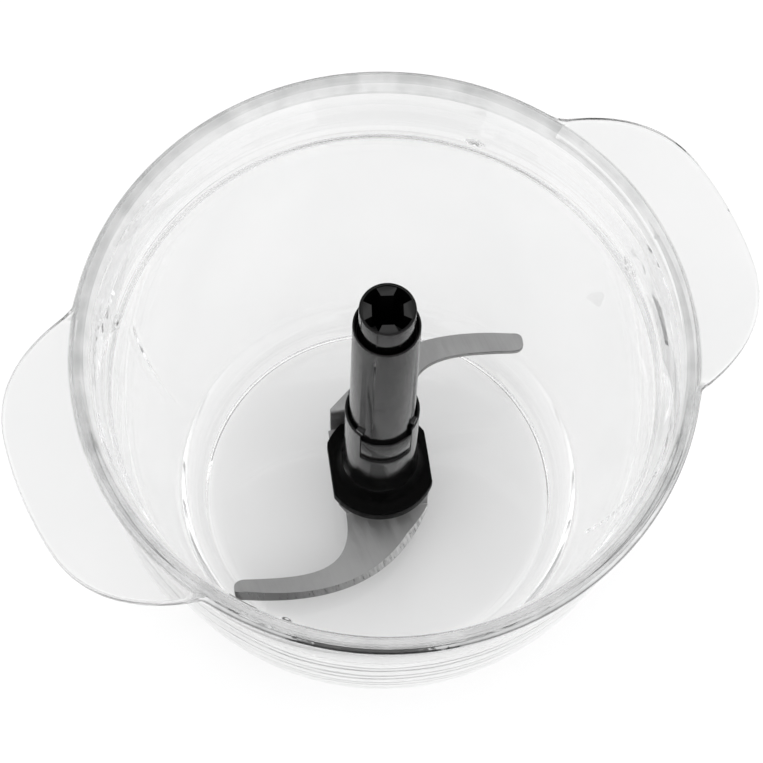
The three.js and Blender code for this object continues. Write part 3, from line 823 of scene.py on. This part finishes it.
def drive_socket():
    low, high = node_box("drive_socket")
    radius, bore, floor_top = 8.0, 7.2, 121.0
    corners = [
        (0, low.z, 0), (radius, low.z, 0.3), (radius, high.z, 0.35), (bore, high.z, 0.25),
        (bore, floor_top, 0.4), (0, floor_top, 0)]
    socket = lathe("drive_socket_visual", corners, 120, 4, 35)
    tip, base_width, tip_width, teeth = 4.4, 6.5, 3.4, 4
    for i in range(teeth):
        outline = [(tip, -tip_width / 2), (bore + 0.3, -base_width / 2),
                   (bore + 0.3, base_width / 2), (tip, tip_width / 2)]
        tooth = prism("tooth", outline, floor_top - 1, high.z - 0.8)
        socket = combine(socket, [turned(tooth, math.radians(-6) + i * math.pi / 2)], "UNION")
    soften(socket, 0.2, 35)
    dress(turned(socket, REST_TURN), "drive_socket", "blade_unit", [BLACK_GLOSS])


def pin_cap():
    low, high = node_box("pin_cap")
    radius = (high.y - low.y) / 2
    corners = [
        (0, low.z + 0.8, 0), (radius - 1.4, low.z + 0.8, 0.1), (radius - 1.4, low.z, 0.1),
        (radius, low.z, 0.2), (radius, high.z, 0.3), (0, high.z, 0)]
    dress(lathe("pin_cap_visual", corners, 64), "pin_cap", "blade_unit", [ACETAL])


# ---- studio -------------------------------------------------------------------------------

TARGET = Vector((-0.000624, 0.000318, 0.0955))      # what the camera looks at
VIEW = Vector((-0.17605, -0.34553, 0.92172))        # unit direction from it to the camera
CAMERA_DISTANCE, CAMERA_ROLL, LENS = 0.72, math.radians(2.98), 116.1


def camera():
    data = bpy.data.cameras.new("camera")
    data.sensor_width = 36
    data.lens = LENS
    item = bpy.data.objects.new("camera", data)
    bpy.context.scene.collection.objects.link(item)
    right = Vector((-VIEW.y, VIEW.x, 0)).normalized()
    up = VIEW.cross(right)
    across = right * math.cos(CAMERA_ROLL) + up * math.sin(CAMERA_ROLL)
    rise = up * math.cos(CAMERA_ROLL) - right * math.sin(CAMERA_ROLL)
    rotation = Matrix((across, rise, VIEW)).transposed().to_4x4()
    item.matrix_world = Matrix.Translation(TARGET + VIEW * CAMERA_DISTANCE) @ rotation
    bpy.context.scene.camera = item


FLOOR_FADE, FLOOR_PAINTED_SHADE = (0.22, 0.8), (0.45, 0.45, 0.45)   # metres from the middle where painted shade starts darkening the floor and where it is full, and its colour


def floor():
    """A plain pale floor with painted shade that darkens it away from the middle."""
    material, nodes, links, shader = new_material("pale_floor")
    shade_of = noise(nodes, links, 3, detail=2.0)
    near = ramp(nodes, links, shade_of, (0.93, 0.93, 0.93), (0.95, 0.95, 0.95))
    # painted shade: the floor's colour falls to a darker grey away from the middle
    surface = fade_outward(nodes, links, near, FLOOR_PAINTED_SHADE, *FLOOR_FADE)
    links.new(surface, shader.inputs["Base Color"])
    shader.inputs["Roughness"].default_value = 0.9
    shader.inputs["Specular IOR Level"].default_value = 0.1
    half = 3.0
    corners = [(-half, -half, 0), (half, -half, 0), (half, half, 0), (-half, half, 0)]
    mesh = bpy.data.meshes.new("floor")
    mesh.from_pydata(corners, [], [(0, 1, 2, 3)])
    mesh.materials.append(material)
    item = bpy.data.objects.new("floor", mesh)
    item.location.z = -0.0002
    bpy.context.scene.collection.objects.link(item)


SKY_STRENGTH = 1.5
SKY_GREYS = ((0.0, 0.12), (0.2, 0.25), (0.45, 0.8), (0.7, 1.0), (1.0, 1.0))     # height and grey
OVERHEAD_DIM = (0.22, 0.9, 0.975)       # how dark the patch is, where it starts and where it is full
FRONT_DIM = (0.4, 0.72, 0.93)


def sky():
    """Soft light from all round, dimmer along the horizon, in front and in a patch overhead."""
    world = bpy.data.worlds.new("studio")
    world.use_nodes = True
    bpy.context.scene.world = world
    nodes, links = world.node_tree.nodes, world.node_tree.links
    coordinates = nodes.new("ShaderNodeTexCoord")
    split = nodes.new("ShaderNodeSeparateXYZ")
    links.new(coordinates.outputs["Generated"], split.inputs["Vector"])
    level = nodes.new("ShaderNodeValToRGB")
    stops = level.color_ramp.elements
    for place, grey in SKY_GREYS:
        stop = stops.new(place)
        stop.color = (grey, grey, grey, 1)
    stops.remove(stops[0])              # the two stops that a new ramp starts with
    stops.remove(stops[-1])
    links.new(split.outputs["Z"], level.inputs["Fac"])
    front = Vector((VIEW.x, VIEW.y, 0)).normalized()
    overhead = Vector((-VIEW.x, -VIEW.y, VIEW.z))
    dimmed = None
    for direction, (dim, start, end) in ((overhead, OVERHEAD_DIM), (front, FRONT_DIM)):
        toward = nodes.new("ShaderNodeVectorMath")
        toward.operation = "DOT_PRODUCT"
        toward.inputs[1].default_value = direction
        links.new(coordinates.outputs["Generated"], toward.inputs[0])
        patch = ramp(nodes, links, toward.outputs["Value"], 1.0, dim, start, end)
        product = nodes.new("ShaderNodeMath")
        product.operation = "MULTIPLY"
        product.inputs[1].default_value = SKY_STRENGTH
        if dimmed:
            links.new(dimmed, product.inputs[1])
        links.new(patch, product.inputs[0])
        dimmed = product.outputs["Value"]
    links.new(level.outputs["Color"], nodes["Background"].inputs["Color"])
    links.new(dimmed, nodes["Background"].inputs["Strength"])


camera()
floor()
sky()
glass_bowl()
centre_pin()
for node, finish in (("upper_gasket", RUBBER), ("lower_gasket", RUBBER), ("clamp_washer", TURNED_STEEL)):
    flat_ring(node, SHANK_HOLE, "root", finish)
lock_washer()
pin_nut()
nut_cap()
bearing_sleeve()
flat_ring("thrust_washer", SLEEVE_BORE, "bearing", ACETAL)
s_blade()
blade_carrier()
clamp_plate()
clamp_screw("clamp_screw_left", -1)
clamp_screw("clamp_screw_right", 1)
hub_tube()
drive_socket()
pin_cap()
for node, inner in (("tube_seal", 8.0), ("socket_seal", 8.3)):
    low, high = node_box(node)
    ring = lathe(node + "_visual", ring_corners(inner, (high.y - low.y) / 2, low.z, high.z, 0.3), 96)
    dress(ring, node, "blade_unit", [RUBBER])

bpy.context.scene.view_settings.view_transform = "Standard"
for limit in ("max_bounces", "transmission_bounces", "glossy_bounces"):
    setattr(bpy.context.scene.cycles, limit, LIGHT_BOUNCES)
